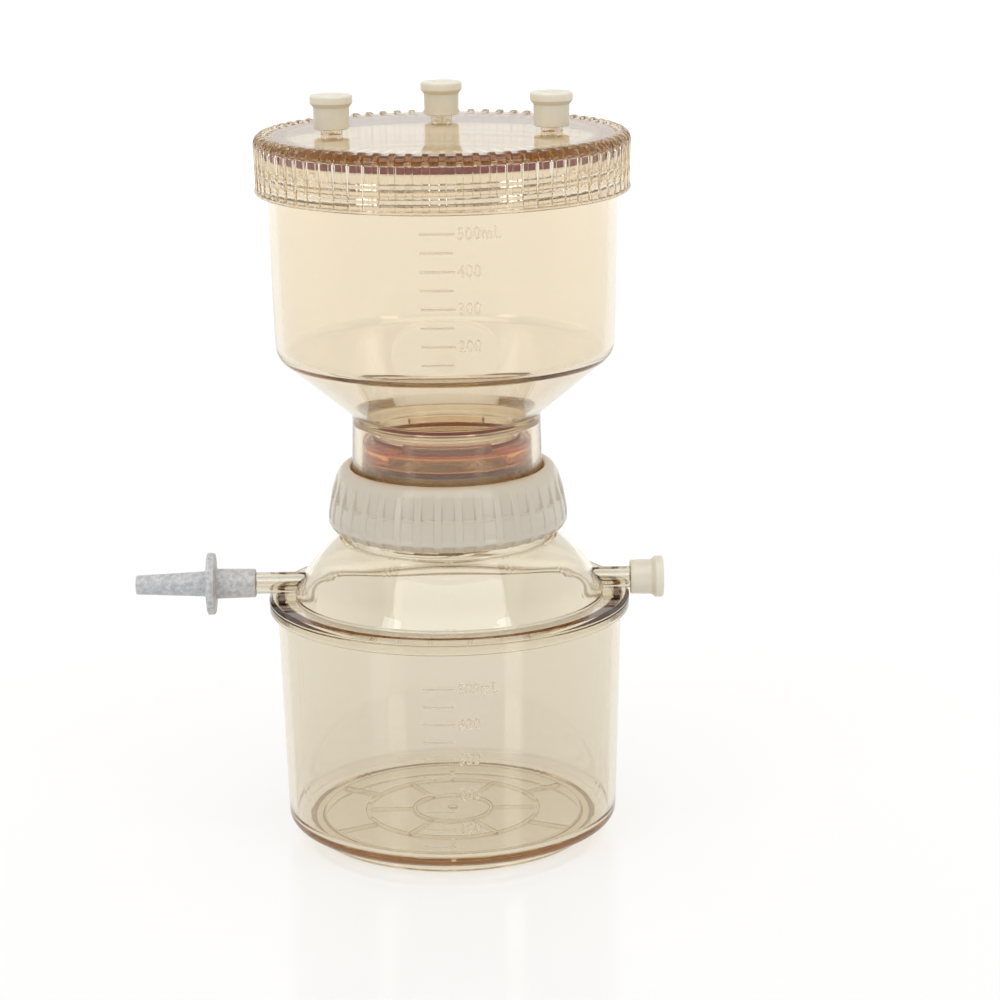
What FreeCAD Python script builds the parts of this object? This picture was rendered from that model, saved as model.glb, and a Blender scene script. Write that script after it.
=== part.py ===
# Vacuum filtration unit: a 500 mL upper chamber clamped by a threaded collar on a
# 500 mL receiver, with a screw cover, a filter support plate and its seals.
#
# Frame: millimetres, +Z up, origin on the axis of the receiver at the plane the foot
# ring stands on.  The side arms lie along X, the graduations face -Y.

import FreeCAD, Part
import os
import math
import Sketcher
from FreeCAD import Vector, Rotation, Placement

doc = FreeCAD.newDocument("vacuum_filtration_unit")

# ---------------------------------------------------------------- driving dimensions
sheet = doc.addObject("Spreadsheet::Sheet", "Dimensions")
VALUES = {}
ROWS = [
    # receiver cup
    ("foot_outer", 46.0, "foot ring, outer radius"),
    ("foot_inner", 42.6, "foot ring, inner radius"),
    ("floor_under", 4.0, "underside of the floor above the standing plane"),
    ("floor_top", 6.8, "inside face of the floor"),
    ("rib_under", 2.8, "underside of the floor ribs"),
    ("rib_ring_inner", 12.7, "mean radius of the inner circular rib"),
    ("rib_ring_outer", 28.0, "mean radius of the outer circular rib"),
    ("rib_width", 1.2, "width of the floor ribs"),
    ("gate_radius", 1.6, "moulding gate mark, radius"),
    ("gate_under", 3.4, "moulding gate mark, underside"),
    ("cup_bottom_radius", 54.0, "cup wall, outer radius at the floor"),
    ("cup_top_radius", 56.05, "cup wall, outer radius under the lip"),
    ("cup_wall", 2.4, "cup wall thickness"),
    ("cup_corner", 5.0, "outer corner radius at the floor"),
    ("cup_corner_inside", 3.0, "inner corner radius at the floor"),
    ("lip_under", 75.6, "underside of the cup's lip"),
    ("lip_top", 78.8, "weld plane between cup and shoulder"),
    ("lip_radius", 58.7, "lip and flange outer radius"),
    # receiver shoulder
    ("flange_top", 80.6, "top face of the shoulder's flange"),
    ("flange_edge", 57.6, "inner end of the flange's chamfer"),
    ("flange_edge_under", 79.5, "lower end of the flange's chamfer"),
    ("cone_foot_radius", 50.3, "foot of the shoulder cone"),
    ("cone_foot_top", 81.5, "top of the short upright step at the cone's foot"),
    ("cone_low_radius", 47.6, "outside of the cone at its lower bend"),
    ("cone_low", 86.2, "height of the lower bend"),
    ("cone_mid_radius", 44.0, "outside of the cone at its middle bend"),
    ("cone_mid", 91.0, "height of the middle bend"),
    ("cone_high_radius", 40.0, "outside of the cone at its upper bend"),
    ("cone_high", 95.3, "height of the upper bend"),
    ("cone_top_radius", 35.5, "edge of the ledge under the collar"),
    ("cone_top", 99.8, "ledge under the collar"),
    ("cone_inside_radius", 49.8, "inner radius of the shoulder at the weld plane"),
    ("cone_inside_foot", 79.2, "height where the inside cone starts"),
    ("inside_low_radius", 45.5, "inside of the cone at its lower bend"),
    ("inside_low", 84.9, "height of that bend"),
    ("inside_mid_radius", 42.1, "inside of the cone at its middle bend"),
    ("inside_mid", 89.4, "height of that bend"),
    ("inside_high_radius", 38.2, "inside of the cone at its upper bend"),
    ("inside_high", 93.5, "height of that bend"),
    ("neck_radius", 34.2, "collar neck, outer radius under its thread"),
    ("neck_bore", 31.5, "collar neck, inner radius"),
    ("neck_bore_foot", 99.3, "height where the inside cone meets the neck bore"),
    ("ledge_top", 116.9, "ledge that carries the chamber flange"),
    ("ledge_under", 113.9, "underside of that ledge"),
    ("throat_outer", 26.5, "inner neck tube, outer radius"),
    ("throat_bore", 24.3, "inner neck tube, bore radius"),
    ("throat_top", 126.1, "rim of the inner neck tube"),
    # side arms
    ("arm_height", 84.0, "height of the side arms' axis"),
    ("arm_radius", 3.5, "side arm tube, outer radius"),
    ("arm_bore", 1.7, "side arm tube, bore radius"),
    ("arm_tip", 68.0, "tip of each side arm from the axis"),
    ("arm_root", 30.0, "start of the arm inside the shoulder"),
    ("pad_inner", 49.6, "pad under the arm, inner end"),
    ("pad_outer", 55.0, "pad under the arm, outer end"),
    ("pad_half_width", 12.8, "pad under the arm, half width"),
    ("pad_top", 81.4, "pad under the arm, top face"),
    # upper chamber
    ("spigot_inner", 21.6, "chamber throat radius"),
    ("spigot_outer", 23.8, "chamber spigot, outer radius"),
    ("spigot_under", 133.3, "lower face of the chamber spigot"),
    ("web_spigot", 135.2, "web underside at the spigot"),
    ("web_skirt", 138.6, "web underside at the skirt"),
    ("throat_edge", 136.6, "height where the inside cone meets the throat"),
    ("skirt_bore", 27.9, "neck skirt, inner radius"),
    ("skirt_foot_radius", 30.75, "neck skirt, outer radius above its flange"),
    ("skirt_head_radius", 30.25, "neck skirt, outer radius under the cone"),
    ("skirt_head", 140.5, "height where the skirt meets the cone"),
    ("skirt_flange", 33.4, "chamber flange, outer radius"),
    ("skirt_flange_top", 120.2, "chamber flange, top face"),
    ("chamber_corner_height", 160.4, "height of the cone's upper corner"),
    ("chamber_bottom_radius", 54.1, "chamber wall, outer radius at the corner"),
    ("chamber_top_radius", 55.4, "chamber wall, outer radius at the rim"),
    ("chamber_wall", 2.5, "chamber wall thickness"),
    ("chamber_inside_corner", 161.7, "height of the inside corner of the cone"),
    ("chamber_parallel", 213.0, "height where the wall becomes parallel"),
    ("chamber_rim", 224.5, "rim of the chamber"),
    ("chamber_corner", 6.0, "outer radius of the cone's upper corner"),
    ("chamber_corner_inside", 3.5, "inner radius of the cone's upper corner"),
    # graduations
    ("mark_relief", 0.3, "height of the raised graduation lines"),
    ("mark_width", 0.55, "width of a graduation line"),
    ("mark_sink", 0.4, "depth of a line's root inside the wall"),
    ("chamber_mark_top", 206.4, "500 mL line of the chamber"),
    ("chamber_mark_step", 5.75, "50 mL in the chamber"),
    ("chamber_mark_angle", 11.0, "angle spanned by a chamber line"),
    ("chamber_mark_turn", -92.1, "middle of the chamber lines round the axis"),
    ("cup_mark_top", 64.0, "500 mL line of the receiver"),
    ("cup_mark_step", 5.8, "50 mL in the receiver"),
    ("cup_mark_angle", 10.0, "angle spanned by a receiver line"),
    ("cup_mark_turn", -94.0, "middle of the receiver lines round the axis"),
    # collar
    ("collar_under", 102.8, "lower edge of the collar"),
    ("collar_foot_radius", 36.9, "collar radius at its lower edge"),
    ("collar_max_radius", 38.65, "largest collar radius"),
    ("collar_max_low", 104.8, "start of the widest band"),
    ("collar_max_high", 108.4, "end of the widest band"),
    ("collar_mid_radius", 37.6, "collar radius at mid height"),
    ("collar_mid", 114.3, "collar mid height"),
    ("collar_neck_radius", 35.9, "collar radius below the shoulder"),
    ("collar_neck", 120.0, "height of the collar's shoulder"),
    ("collar_crown_radius", 34.2, "collar radius at the crown"),
    ("collar_top", 123.0, "top face of the collar"),
    ("collar_opening", 31.2, "opening of the collar's lip"),
    ("collar_lip_under", 120.25, "underside of the collar's lip"),
    ("collar_bore", 35.8, "collar bore over the neck thread"),
    ("collar_bore_high", 114.4, "upper end of the threaded bore"),
    ("collar_throat", 34.4, "collar bore round the chamber flange"),
    ("collar_throat_low", 117.2, "lower end of that bore"),
    ("collar_panel_depth", 0.75, "depth of the upper grip panels at their lower end"),
    ("collar_panel_shallow", 0.36, "depth of the lower grip panels"),
    ("collar_panel_angle", 6.0, "angle of one grip panel"),
    ("collar_panels", 36, "grip panels round the collar"),
    ("collar_upper_low", 113.1, "upper panels, lower end"),
    ("collar_upper_high", 120.9, "upper panels, upper end"),
    ("collar_lower_low", 106.0, "lower panels, lower end"),
    ("collar_lower_high", 112.6, "lower panels, upper end"),
    # cover
    ("cover_under", 212.4, "lower edge of the cover's skirt"),
    ("cover_bore", 57.2, "bore of the cover's skirt"),
    ("cover_bead_radius", 59.5, "plain bead at the skirt's lower edge"),
    ("cover_bead_top", 214.0, "top of that bead"),
    ("cover_skirt_radius", 58.7, "skirt radius between the ribs"),
    ("cover_rib_radius", 59.6, "skirt radius over the ribs"),
    ("cover_top", 230.1, "top face of the cover"),
    ("cover_plate_under", 227.1, "underside of the cover plate"),
    ("cover_corner", 3.8, "corner radius of the cover's top edge"),
    ("cover_rib_angle", 2.1, "angle of one grip rib"),
    ("cover_ribs", 72, "grip ribs round the cover"),
    ("cover_rib_shoulder", 226.6, "height where a rib starts to round over"),
    ("cover_rib_crest_radius", 58.6, "rib radius on its rounded shoulder"),
    ("cover_rib_crest", 229.2, "rib height on its rounded shoulder"),
    ("cover_rib_end_radius", 56.2, "inner end of a rib on the top edge"),
    ("cover_rib_top", 230.4, "highest point of a rib"),
    ("cover_rib_root_radius", 58.0, "root of a rib inside the skirt"),
    ("cover_rib_root", 227.9, "root of a rib under the top edge"),
    ("gasket_rib_outer", 50.2, "gasket keeper, outer radius"),
    ("gasket_rib_inner", 49.0, "gasket keeper, inner radius"),
    ("gasket_rib_under", 225.2, "gasket keeper, lower edge"),
    # ports and their caps
    ("port_radius", 34.6, "distance of the ports from the axis"),
    ("port_tube", 3.5, "port tube, outer radius"),
    ("port_bore", 1.9, "port tube, bore radius"),
    ("port_top", 239.4, "top of the port tubes"),
    ("port_root", 228.5, "start of the port tubes inside the plate"),
    ("cap_seat", 231.7, "lower edge of the caps on the cover"),
    ("cap_arm_seat", 59.1, "inner end of the cap on the side arm"),
    ("cap_bore", 3.55, "cap bore radius"),
    ("cap_bore_depth", 9.0, "cap bore depth"),
    ("cap_body_foot", 5.55, "cap body radius at its open end"),
    ("cap_body_head", 5.7, "cap body radius under its flange"),
    ("cap_body_length", 6.9, "length of the cap body"),
    ("cap_flange", 6.75, "cap flange radius"),
    ("cap_flange_start", 8.2, "start of the full flange"),
    ("cap_length", 10.8, "length of a cap"),
    ("cap_round", 0.7, "rounding of the cap's closed end"),
    ("cap_drive_radius", 3.6, "dimple in the closed end, radius"),
    ("cap_drive_depth", 0.5, "dimple in the closed end, depth"),
    # tubing adapter
    ("adapter_seat", 63.0, "inner end of the tubing adapter"),
    ("adapter_hub_foot", 4.65, "adapter hub radius at its open end"),
    ("adapter_hub_head", 4.9, "adapter hub radius at the disc"),
    ("adapter_hub_length", 12.8, "length of the adapter's hub"),
    ("adapter_disc", 10.2, "adapter disc radius"),
    ("adapter_disc_start", 13.3, "start of the disc's rim"),
    ("adapter_disc_end", 15.7, "end of the disc's rim"),
    ("adapter_disc_back", 16.4, "back of the disc at the stem"),
    ("adapter_stem_root", 4.1, "stem radius at the disc"),
    ("adapter_stem_tip", 3.1, "stem radius at the tip"),
    ("adapter_length", 39.0, "length of the adapter"),
    ("adapter_socket", 3.55, "adapter socket radius"),
    ("adapter_socket_depth", 10.4, "adapter socket depth"),
    ("adapter_bore", 1.7, "bore through the stem"),
    # cover gasket
    ("cover_gasket_inner", 50.5, "cover gasket, inner radius"),
    ("cover_gasket_outer", 56.8, "cover gasket, outer radius"),
    # chamber gasket
    ("gasket_inner", 21.7, "chamber gasket, inner radius"),
    ("gasket_outer", 23.6, "chamber gasket, outer radius"),
    ("gasket_under", 132.1, "chamber gasket, sealing face"),
    ("gasket_lug_outer", 25.0, "gasket lugs, outer radius"),
    ("gasket_lug_root", 23.3, "gasket lugs, root radius"),
    ("gasket_lug_under", 131.3, "gasket lugs, lower face"),
    ("gasket_lug_top", 133.25, "gasket lugs, upper face"),
    ("gasket_lug_angle", 66.0, "angle of one gasket lug"),
    # support plate
    ("plate_radius", 27.5, "support plate, outer radius"),
    ("plate_under", 126.1, "support plate, seating face"),
    ("plate_rim_top", 132.7, "support plate, top of the rim"),
    ("plate_seat_radius", 23.7, "filter recess radius"),
    ("plate_seat", 131.95, "filter seat"),
    ("plate_web_under", 129.7, "underside of the perforated web"),
    ("plate_boss_outer", 21.9, "boss radius under the O-ring"),
    ("plate_boss_inner", 19.6, "inner radius of the boss"),
    ("plate_boss_under", 119.9, "lower edge of the boss"),
    ("plate_tab_inner", 25.6, "lifting tabs, inner radius"),
    ("plate_tab_top", 134.8, "top of the lifting tabs"),
    ("plate_tab_angle", 60.0, "angle of one lifting tab"),
    ("plate_pocket_radius", 25.3, "pockets for the gasket lugs, outer radius"),
    ("plate_pocket_floor", 131.1, "floor of those pockets"),
    ("plate_pocket_angle", 70.0, "angle of one pocket"),
    ("plate_hole", 1.0, "drain hole radius"),
    ("plate_hole_step", 7.2, "pitch of the rings of drain holes"),
    # seal
    ("seal_radius", 23.1, "O-ring, mean radius"),
    ("seal_section", 1.18, "O-ring, section radius"),
    ("seal_height", 124.8, "O-ring, height of its section's centre"),
]
for number, (alias, value, note) in enumerate(ROWS, start=1):
    sheet.set("A%d" % number, note)
    sheet.set("B%d" % number, str(value))
    sheet.setAlias("B%d" % number, alias)
    VALUES[alias] = float(value)
doc.recompute()


def number_of(text):
    """Value of a sum such as 'floor_top + cup_wall - 0.2'."""
    total, sign = 0.0, 1.0
    for token in str(text).split():
        if token == "+":
            sign = 1.0
        elif token == "-":
            sign = -1.0
        else:
            total += sign * (VALUES[token] if token in VALUES else float(token))
    return total


def bound(text):
    """The same sum with each alias read from the sheet."""
    return " ".join("Dimensions." + t if t in VALUES else t for t in str(text).split())


# ---------------------------------------------------------------- modelling helpers
def origin_of(body, role):
    for feature in body.Origin.OriginFeatures:
        if feature.Role == role:
            return feature
    raise ValueError(role)


def new_body(label):
    body = doc.addObject("PartDesign::Body", label)
    body.Label = label
    return body


def new_sketch(body, name, plane="XZ_Plane", turn=None, shift=None, shift_by=None):
    sketch = body.newObject("Sketcher::SketchObject", name)
    sketch.AttachmentSupport = (origin_of(body, plane), [""])
    sketch.MapMode = "FlatFace"
    if turn is not None:
        sketch.AttachmentOffset = Placement(Vector(0, 0, 0), Rotation(Vector(0, 1, 0), number_of(turn)))
        sketch.setExpression("AttachmentOffset.Rotation.Angle", bound(turn))
    if shift is not None:
        sketch.AttachmentOffset = Placement(Vector(0, 0, number_of(shift)), Rotation())
        sketch.setExpression("AttachmentOffset.Base.z", bound(shift))
    return sketch


def polygon(sketch, points, tag=""):
    """Closed outline through (radius, height) sums; every corner is bound to the sheet."""
    first = sketch.GeometryCount
    count = len(points)
    xy = [Vector(number_of(a), number_of(b), 0) for a, b in points]
    sketch.addGeometry([Part.LineSegment(xy[i], xy[(i + 1) % count]) for i in range(count)], False)
    ties, names = [], []
    for i in range(count):
        ties.append(Sketcher.Constraint("Coincident", first + i, 2, first + (i + 1) % count, 1))
        names.append(None)
    for i, (a, b) in enumerate(points):
        for kind, text, value, axis in (("DistanceX", a, xy[i].x, -2), ("DistanceY", b, xy[i].y, -1)):
            if abs(value) < 1e-9:
                ties.append(Sketcher.Constraint("PointOnObject", first + i, 1, axis))
                names.append(None)
            else:
                ties.append(Sketcher.Constraint(kind, -1, 1, first + i, 1, value))
                names.append(("across" if kind == "DistanceX" else "upright") + tag + "_%d" % i)
                names[-1] = (names[-1], text)
    start = sketch.ConstraintCount
    sketch.addConstraint(ties)
    for i, entry in enumerate(names):
        if entry:
            sketch.renameConstraint(start + i, entry[0])
            sketch.setExpression("Constraints." + entry[0], bound(entry[1]))


def circle(sketch, across, upright, radius, tag=""):
    number = sketch.GeometryCount
    centre = Vector(number_of(across), number_of(upright), 0)
    sketch.addGeometry(Part.Circle(centre, Vector(0, 0, 1), number_of(radius)), False)
    for kind, text, value, axis in (("DistanceX", across, centre.x, -2), ("DistanceY", upright, centre.y, -1)):
        if abs(value) < 1e-9:
            sketch.addConstraint(Sketcher.Constraint("PointOnObject", number, 3, axis))
        else:
            at = sketch.addConstraint(Sketcher.Constraint(kind, -1, 1, number, 3, value))
            name = ("centre_across" if kind == "DistanceX" else "centre_upright") + tag
            sketch.renameConstraint(at, name)
            sketch.setExpression("Constraints." + name, bound(text))
    at = sketch.addConstraint(Sketcher.Constraint("Radius", number, number_of(radius)))
    sketch.renameConstraint(at, "radius" + tag)
    sketch.setExpression("Constraints.radius" + tag, bound(radius))


def revolve(body, name, sketch, cut=False, angle=None):
    feature = body.newObject("PartDesign::Groove" if cut else "PartDesign::Revolution", name)
    feature.Profile = (sketch, [""])
    feature.ReferenceAxis = (sketch, ["V_Axis"])
    feature.Angle = 360.0
    if angle is not None:
        feature.Midplane = True
        feature.Angle = number_of(angle)
        feature.setExpression("Angle", bound(angle))
    doc.recompute()
    return feature


def extrude(body, name, sketch, length, cut=False, reverse=False):
    feature = body.newObject("PartDesign::Pocket" if cut else "PartDesign::Pad", name)
    feature.Profile = (sketch, [""])
    feature.Length = number_of(length)
    feature.setExpression("Length", bound(length))
    feature.Reversed = reverse
    doc.recompute()
    return feature


def around(body, name, feature, count, count_text=None, turn=360.0):
    pattern = body.newObject("PartDesign::PolarPattern", name)
    pattern.Originals = [feature]
    pattern.Axis = (origin_of(body, "Z_Axis"), [""])
    pattern.Angle = turn
    pattern.Occurrences = count
    if count_text:
        pattern.setExpression("Occurrences", bound(count_text))
    body.Tip = pattern
    doc.recompute()
    return pattern


def ring_edges(feature, radius, height, slack=0.08):
    found = []
    for i, edge in enumerate(feature.Shape.Edges, start=1):
        curve = edge.Curve
        if isinstance(curve, Part.Circle) and abs(curve.Radius - radius) < slack and abs(curve.Center.z - height) < slack \
                and math.hypot(curve.Center.x, curve.Center.y) < slack:
            found.append("Edge%d" % i)
    if not found:
        raise ValueError("no ring edge at %.2f, %.2f" % (radius, height))
    return found


def round_over(body, name, feature, radius_text, rings):
    names = []
    for r, z in rings:
        names += ring_edges(feature, number_of(r), number_of(z))
    fillet = body.newObject("PartDesign::Fillet", name)
    fillet.Base = (feature, names)
    fillet.Radius = number_of(radius_text)
    fillet.setExpression("Radius", bound(radius_text))
    doc.recompute()
    return fillet


SUBPARTS = []

# ---------------------------------------------------------------- receiver cup
cup = new_body("receiver_body")
half = "0.6"
outline = new_sketch(cup, "cup_profile")
polygon(outline, [
    ("0", "gate_under"),
    ("gate_radius", "gate_under"),
    ("gate_radius", "floor_under"),
    ("rib_ring_inner - " + half, "floor_under"),
    ("rib_ring_inner - " + half, "rib_under"),
    ("rib_ring_inner + " + half, "rib_under"),
    ("rib_ring_inner + " + half, "floor_under"),
    ("rib_ring_outer - " + half, "floor_under"),
    ("rib_ring_outer - " + half, "rib_under"),
    ("rib_ring_outer + " + half, "rib_under"),
    ("rib_ring_outer + " + half, "floor_under"),
    ("foot_inner", "floor_under"),
    ("foot_inner", "0"),
    ("foot_outer", "0"),
    ("foot_outer + 0.3", "floor_under"),
    ("cup_bottom_radius", "floor_under"),
    ("cup_top_radius", "lip_under"),
    ("lip_radius", "lip_under"),
    ("lip_radius", "lip_top"),
    ("cup_top_radius - cup_wall + 0.1", "lip_top"),
    ("cup_bottom_radius - cup_wall + 0.1", "floor_top"),
    ("0", "floor_top"),
])
cup_shell = revolve(cup, "cup_shell", outline)
cup_round = round_over(cup, "cup_outer_corner", cup_shell, "cup_corner", [("cup_bottom_radius", "floor_under")])
cup_inside = round_over(cup, "cup_inner_corner", cup_round, "cup_corner_inside",
                        [("cup_bottom_radius - cup_wall + 0.1", "floor_top")])
spoke_sketch = new_sketch(cup, "inner_spoke_outline", "XY_Plane", shift="rib_under")
polygon(spoke_sketch, [("rib_ring_inner", "0 - 0.5"), ("rib_ring_outer", "0 - 0.5"),
                       ("rib_ring_outer", "0.5"), ("rib_ring_inner", "0.5")])
spoke = extrude(cup, "inner_spoke", spoke_sketch, "floor_under - rib_under + 0.3")
around(cup, "inner_spokes", spoke, 6)
outer_sketch = new_sketch(cup, "outer_spoke_outline", "XY_Plane", shift="rib_under")
polygon(outer_sketch, [("0 - 0.5", "rib_ring_outer"), ("0.5", "rib_ring_outer"),
                       ("0.5", "foot_inner + 0.5"), ("0 - 0.5", "foot_inner + 0.5")])
outer_spoke = extrude(cup, "outer_spoke", outer_sketch, "floor_under - rib_under + 0.3")
around(cup, "outer_spokes", outer_spoke, 6)
marks = new_sketch(cup, "cup_mark_outline", turn="cup_mark_turn")
slope = (VALUES["cup_top_radius"] - VALUES["cup_bottom_radius"]) / (VALUES["lip_under"] - VALUES["floor_under"])
for k in range(10):
    drop = "%.3f" % (k * VALUES["cup_mark_step"])
    level = number_of("cup_mark_top - " + drop)
    inward = "%.3f" % ((VALUES["lip_under"] - level) * slope)
    low = "cup_mark_top - " + drop + " - 0.275"
    high = "cup_mark_top - " + drop + " + 0.275"
    polygon(marks, [("cup_top_radius - " + inward + " - mark_sink", low),
                    ("cup_top_radius - " + inward + " + mark_relief", low),
                    ("cup_top_radius - " + inward + " + mark_relief", high),
                    ("cup_top_radius - " + inward + " - mark_sink", high)], "_%d" % k)
revolve(cup, "cup_marks", marks, angle="cup_mark_angle")
SUBPARTS.append(cup)

# ---------------------------------------------------------------- receiver shoulder
shoulder = new_body("receiver_shoulder")
outline = new_sketch(shoulder, "shoulder_profile")
polygon(outline, [
    ("0", "lip_top"),
    ("lip_radius", "lip_top"),
    ("lip_radius", "flange_edge_under"),
    ("flange_edge", "flange_top"),
    ("cone_foot_radius", "flange_top"),
    ("cone_foot_radius", "cone_foot_top"),
    ("cone_low_radius", "cone_low"),
    ("cone_mid_radius", "cone_mid"),
    ("cone_high_radius", "cone_high"),
    ("cone_top_radius", "cone_top"),
    ("neck_radius", "cone_top"),
    ("neck_radius", "ledge_top"),
    ("throat_outer", "ledge_top"),
    ("throat_outer", "throat_top"),
    ("0", "throat_top"),
])
solid = revolve(shoulder, "shoulder_solid", outline)
arm_sketch = new_sketch(shoulder, "right_arm_outline", "YZ_Plane", shift="arm_root")
circle(arm_sketch, "0", "arm_height", "arm_radius")
extrude(shoulder, "right_arm", arm_sketch, "arm_tip - arm_root")
arm_sketch = new_sketch(shoulder, "left_arm_outline", "YZ_Plane", shift="0 - arm_root")
circle(arm_sketch, "0", "arm_height", "arm_radius")
extrude(shoulder, "left_arm", arm_sketch, "arm_tip - arm_root", reverse=True)
for side, where, back in (("right", "pad_inner", False), ("left", "0 - pad_inner", True)):
    pad_sketch = new_sketch(shoulder, side + "_pad_outline", "YZ_Plane", shift=where)
    polygon(pad_sketch, [("0 - pad_half_width", "flange_top - 0.6"), ("pad_half_width", "flange_top - 0.6"),
                         ("pad_half_width", "pad_top"), ("0 - pad_half_width", "pad_top")])
    extrude(shoulder, side + "_pad", pad_sketch, "pad_outer - pad_inner", reverse=back)
hollow = new_sketch(shoulder, "shoulder_hollow")
polygon(hollow, [
    ("0", "lip_top - 1"),
    ("cone_inside_radius", "lip_top - 1"),
    ("cone_inside_radius", "cone_inside_foot"),
    ("inside_low_radius", "inside_low"),
    ("inside_mid_radius", "inside_mid"),
    ("inside_high_radius", "inside_high"),
    ("neck_bore", "neck_bore_foot"),
    ("neck_bore", "ledge_under"),
    ("throat_bore", "ledge_under"),
    ("throat_bore", "throat_top + 1"),
    ("0", "throat_top + 1"),
])
revolve(shoulder, "shoulder_inside", hollow, cut=True)
for side, where, back in (("right", "arm_root", False), ("left", "0 - arm_root", True)):
    bore_sketch = new_sketch(shoulder, side + "_bore_outline", "YZ_Plane", shift=where)
    circle(bore_sketch, "0", "arm_height", "arm_bore")
    before = shoulder.Shape.Volume
    # a pocket runs against its sketch normal, so the right-hand one is the reversed one
    extrude(shoulder, side + "_bore", bore_sketch, "arm_tip - arm_root + 1", cut=True, reverse=not back)
    if shoulder.Shape.Volume > before - 50.0:
        raise RuntimeError("the " + side + " side arm has no bore")
SUBPARTS.append(shoulder)

# ---------------------------------------------------------------- upper chamber
chamber = new_body("upper_chamber")
outline = new_sketch(chamber, "chamber_profile")
polygon(outline, [
    ("spigot_inner", "spigot_under"),
    ("spigot_outer", "spigot_under"),
    ("spigot_outer", "web_spigot"),
    ("skirt_bore", "web_skirt"),
    ("skirt_bore", "ledge_top"),
    ("skirt_flange", "ledge_top"),
    ("skirt_flange", "skirt_flange_top"),
    ("skirt_foot_radius", "skirt_flange_top"),
    ("skirt_head_radius", "skirt_head"),
    ("chamber_bottom_radius", "chamber_corner_height"),
    ("chamber_top_radius", "chamber_parallel"),
    ("chamber_top_radius", "chamber_rim"),
    ("chamber_top_radius - chamber_wall", "chamber_rim"),
    ("chamber_top_radius - chamber_wall", "chamber_parallel"),
    ("chamber_bottom_radius - chamber_wall", "chamber_inside_corner"),
    ("spigot_inner", "throat_edge"),
])
shell = revolve(chamber, "chamber_shell", outline)
shell = round_over(chamber, "chamber_outer_corner", shell, "chamber_corner",
                   [("chamber_bottom_radius", "chamber_corner_height")])
shell = round_over(chamber, "chamber_inner_corner", shell, "chamber_corner_inside",
                   [("chamber_bottom_radius - chamber_wall", "chamber_inside_corner")])
marks = new_sketch(chamber, "chamber_mark_outline", turn="chamber_mark_turn")
slope = (VALUES["chamber_top_radius"] - VALUES["chamber_bottom_radius"]) / \
        (VALUES["chamber_parallel"] - VALUES["chamber_corner_height"])
for k in range(8):
    drop = "%.3f" % (k * VALUES["chamber_mark_step"])
    level = number_of("chamber_mark_top - " + drop)
    inward = "%.3f" % ((VALUES["chamber_parallel"] - level) * slope)
    low = "chamber_mark_top - " + drop + " - 0.275"
    high = "chamber_mark_top - " + drop + " + 0.275"
    polygon(marks, [("chamber_top_radius - " + inward + " - mark_sink", low),
                    ("chamber_top_radius - " + inward + " + mark_relief", low),
                    ("chamber_top_radius - " + inward + " + mark_relief", high),
                    ("chamber_top_radius - " + inward + " - mark_sink", high)], "_%d" % k)
revolve(chamber, "chamber_marks", marks, angle="chamber_mark_angle")
SUBPARTS.append(chamber)

# ---------------------------------------------------------------- locking collar
collar = new_body("locking_collar")
outline = new_sketch(collar, "collar_profile")
polygon(outline, [
    ("collar_bore", "collar_under"),
    ("collar_foot_radius", "collar_under"),
    ("collar_max_radius", "collar_max_low"),
    ("collar_max_radius", "collar_max_high"),
    ("collar_mid_radius", "collar_mid"),
    ("collar_neck_radius", "collar_neck"),
    ("collar_crown_radius", "collar_top"),
    ("collar_opening", "collar_top"),
    ("collar_opening", "collar_lip_under"),
    ("collar_throat", "collar_lip_under"),
    ("collar_throat", "collar_throat_low"),
    ("collar_bore", "collar_bore_high"),
])
ring = revolve(collar, "collar_ring", outline)
panel = new_sketch(collar, "upper_panel_outline")
polygon(panel, [
    ("collar_mid_radius - collar_panel_depth", "collar_upper_low"),
    ("collar_mid_radius + 1", "collar_upper_low"),
    ("collar_neck_radius + 1", "collar_upper_high"),
    ("collar_neck_radius - 0.48", "collar_upper_high"),
])
cut = revolve(collar, "upper_panel", panel, cut=True, angle="collar_panel_angle")
around(collar, "upper_panels", cut, 36, "collar_panels")
panel = new_sketch(collar, "lower_panel_outline")
polygon(panel, [
    ("collar_max_radius - collar_panel_shallow", "collar_lower_low"),
    ("collar_max_radius + 1", "collar_lower_low"),
    ("collar_max_radius + 1", "collar_lower_high"),
    ("collar_mid_radius - collar_panel_shallow + 0.3", "collar_lower_high"),
    ("collar_max_radius - collar_panel_shallow", "collar_max_high"),
])
cut = revolve(collar, "lower_panel", panel, cut=True, angle="collar_panel_angle")
around(collar, "lower_panels", cut, 36, "collar_panels")
SUBPARTS.append(collar)

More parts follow.
